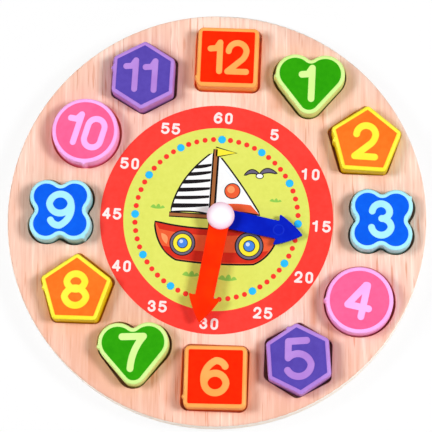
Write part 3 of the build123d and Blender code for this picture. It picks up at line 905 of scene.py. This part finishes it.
def block_paint(name, shade, deeper, seed, side_shade=side_shade_tint):
    """Satin dip paint on wood: painted shade on the upright sides, orange peel, and rubbed thin along the
    edges.
    """
    material, shader = new_material(name, roughness=0.4, specular=0.15)
    cloud = grain_noise(material, (90, 90, 90), 3, 0.5, 0.0, (seed, 0, 0))
    peel = grain_noise(material, (1400, 1400, 1400), 3, 0.55, 0.0, (seed, 0, 0))
    fibre = grain_noise(material, (900, 60, 900), 4, 0.6, radians(20 * seed), (seed, 0, 0))
    coat = ramp(material, cloud, [(0.35, deeper), (0.65, shade)])
    edge = add_node(material.node_tree, "ShaderNodeAttribute", attribute_name="edge_wear")
    chips = ramp(material, grain_noise(material, (700, 700, 400), 4, 0.7, 0.0, (seed, 8, 0)),
                 [(0.66, grey(0)), (0.70, grey(1))])
    worn = work_out(material, "MULTIPLY", edge.outputs["Fac"], wear_share)
    worn = work_out(material, "MULTIPLY", chips, worn)
    coat = blend_colour(material, worn, coat, bare_wood)
    # Painted shade: the upright sides are multiplied by a darker tint.
    side = work_out(material, "SUBTRACT", 1.0, face_up(material))
    coat = blend_colour(material, side, coat, side_shade, "MULTIPLY")
    link(material, coat, shader.inputs["Base Color"])
    link(material, ramp(material, peel, [(0.3, grey(0.46)), (0.7, grey(0.34))]), shader.inputs["Roughness"])
    add_bump(material, shader, [(fibre, fibre_depth), (peel, peel_depth), (worn, wear_depth)])
    return material


yellow, deeper_yellow = colour(254, 244, 70), colour(252, 235, 50)
base_paint = {
    "square": block_paint("light_orange_paint", colour(254, 178, 95), colour(252, 167, 81), 1),
    "heart": block_paint("pale_green_paint", colour(222, 253, 157), colour(213, 246, 143), 2),
    "pentagon": block_paint("yellow_paint", yellow, deeper_yellow, 3, side_shade_yellow),
    "clover": block_paint("pale_blue_paint", colour(177, 241, 251), colour(162, 233, 248), 4),
    "round": block_paint("pale_pink_paint", colour(255, 186, 246), colour(252, 174, 238), 5),
    "hexagon": block_paint("lilac_paint", colour(187, 140, 221), colour(178, 128, 213), 6),
}
# Each block's centre in millimetres as it lies in its socket, its turn, and where its nub points.
blocks = (
    (1, "heart", (38.01, 60.61), -0.5, 174), (2, "pentagon", (62.79, 34.42), -1.8, 182),
    (3, "clover", (70.60, 0.44), 0.5, 40), (4, "round", (62.29, -34.57), -10.5, 191),
    (5, "hexagon", (37.51, -60.46), 6.0, 104), (6, "square", (2.80, -69.47), 1.0, 212),
    (7, "heart", (-32.30, -59.05), 3.5, 174), (8, "pentagon", (-58.05, -34.60), 0.3, 177),
    (9, "clover", (-66.56, -0.31), 2.0, 310), (10, "round", (-57.86, 34.86), -15.0, 285),
    (11, "hexagon", (-34.07, 60.34), -1.0, 169), (12, "square", (2.12, 69.58), 0.0, 214),
)
for hour, kind, centre, turn_deg, nub_deg in blocks:
    piece = build_block(f"number_block_{hour:02d}", kind, centre, turn_deg, nub_deg, base_paint[kind])
    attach(piece, f"block_{hour:02d}")
    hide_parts(f"block_{hour:02d}_{kind}")

# Panels
# A darker panel is printed on each block's face, inside a border of the pale paint. The figure is left
# open in it, so the number shows in the pale paint too.
panel_ink = {
    "square": print_ink("red_panel_ink", colour(252, 42, 2), colour(245, 33, 0), 0.4),
    "heart": print_ink("green_panel_ink", colour(50, 166, 8), colour(41, 154, 5), 0.4),
    "pentagon": print_ink("orange_panel_ink", colour(255, 124, 38), colour(250, 112, 28), 0.4),
    "clover": print_ink("blue_panel_ink", colour(10, 99, 237), colour(7, 89, 228), 0.4),
    "round": print_ink("pink_panel_ink", colour(255, 104, 152), colour(250, 94, 144), 0.4),
    "hexagon": print_ink("purple_panel_ink", colour(93, 75, 176), colour(85, 67, 166), 0.4),
}
for hour, kind, *_ in blocks:
    dress(f"panel_{hour:02d}", panel_ink[kind])

# Hands
# The hands are flat arrows moulded in coloured plastic, with softened edges. The hour hand has the round
# mark of the mould's pin near its head. Each turns on the pivot's tube.
mould_depth, scuff_depth = 0.000012, 0.00001


def moulded_plastic(name, shade, deeper):
    material, shader = new_material(name, roughness=0.38, specular=0.06)
    flow = grain_noise(material, (130, 130, 130), 3, 0.5)
    fine = grain_noise(material, (3200, 3200, 3200), 2, 0.5)
    scuff = grain_noise(material, (500, 90, 500), 4, 0.6, radians(30))
    link(material, ramp(material, flow, [(0.35, deeper), (0.65, shade)]), shader.inputs["Base Color"])
    gloss = ramp(material, scuff, [(0.35, grey(0.32)), (0.7, grey(0.48))])
    link(material, gloss, shader.inputs["Roughness"])
    add_bump(material, shader, [(fine, mould_depth), (scuff, scuff_depth)])
    return material


hand_red = moulded_plastic("red_plastic", colour(255, 52, 0), colour(250, 40, 0))
hand_blue = moulded_plastic("blue_plastic", colour(6, 35, 192), colour(3, 25, 178))
minute_hand = smooth_copy("minute_hand", "red_minute_hand", "minute_hand", hand_red)
hour_hand = smooth_copy("hour_hand", "blue_hour_hand", "hour_hand", hand_blue)

pivot_x, pivot_y = 0.0021, -0.00035
hand_top = 0.01305
hour_turn = radians(-100.6)
# The mark is a raised line round the pin: its distance from the pivot, radius, half width and flatness.
pin_distance, pin_radius, pin_line, pin_flatness = 0.0253, 0.0022, 0.00026, 0.35
pin = Vector((
    pivot_x - sin(hour_turn) * pin_distance,
    pivot_y + cos(hour_turn) * pin_distance,
    hand_top,
))
ring_steps, line_steps = 48, 8
verts, faces = [], []
for i in range(ring_steps):
    turn = 2 * pi * i / ring_steps
    for j in range(line_steps):
        lean = 2 * pi * j / line_steps
        reach = pin_radius + cos(lean) * pin_line
        rise = sin(lean) * pin_line * pin_flatness
        verts.append(pin + Vector((cos(turn) * reach, sin(turn) * reach, rise)))
for i in range(ring_steps):
    for j in range(line_steps):
        a, b = i * line_steps + j, (i + 1) % ring_steps * line_steps + j
        step = (j + 1) % line_steps - j
        faces.append((a, b, b + step, a + step))
mesh = bpy.data.meshes.new("pin_mark")
mesh.from_pydata(verts, [], faces)
mesh.shade_smooth()
mesh.materials.append(moulded_plastic("pin_mark_plastic", colour(20, 50, 204), colour(14, 42, 192)))
pin_mark = add_object("pin_mark", mesh)
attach(pin_mark, "hour_hand")

# Pivot
# The pivot is a snap rivet: a flanged tube let into the back, two thin washers, and a domed white cap
# whose post is pressed into the tube.
cap_radius = 0.0059
cap_depth = 0.00001
white_plastic = moulded_plastic("white_plastic", colour(253, 246, 249), colour(249, 240, 244))
grey_plastic = moulded_plastic("grey_plastic", colour(222, 220, 216), colour(212, 210, 206))

# The cap is painted a faint pink towards its rim: a painted reflection of the red hand and dial round it.
cap_plastic, shader = new_material("cap_plastic", roughness=0.35, specular=0.2)
place = object_place(cap_plastic)
centred = mapped(cap_plastic, place, Location=(-pivot_x, -pivot_y, 0), Scale=(1, 1, 0))
reach = vector_step(cap_plastic, "LENGTH", centred, output="Value")
share = work_out(cap_plastic, "DIVIDE", reach, cap_radius)
rim_reflection_tints = [(0.45, colour(255, 253, 254)), (0.78, colour(252, 232, 243)), (1.0, colour(247, 200, 222))]
link(cap_plastic, ramp(cap_plastic, share, rim_reflection_tints), shader.inputs["Base Color"])
fine = grain_noise(cap_plastic, (2600, 2600, 2600), 3, 0.5)
scuff = grain_noise(cap_plastic, (420, 160, 420), 4, 0.6, radians(50))
gloss = ramp(cap_plastic, scuff, [(0.35, grey(0.28)), (0.7, grey(0.44))])
link(cap_plastic, gloss, shader.inputs["Roughness"])
add_bump(cap_plastic, shader, [(fine, cap_depth), (scuff, cap_depth)])
for node, name, material, slot in (
    ("pivot_tube", "flanged_tube", grey_plastic, "grey_plastic"),
    ("base_washer", "lower_washer", white_plastic, "white_plastic"),
    ("hand_washer", "upper_washer", white_plastic, "white_plastic"),
    ("pivot_cap", "domed_cap", cap_plastic, "white_plastic"),
):
    smooth_copy(node, name, "board", material)
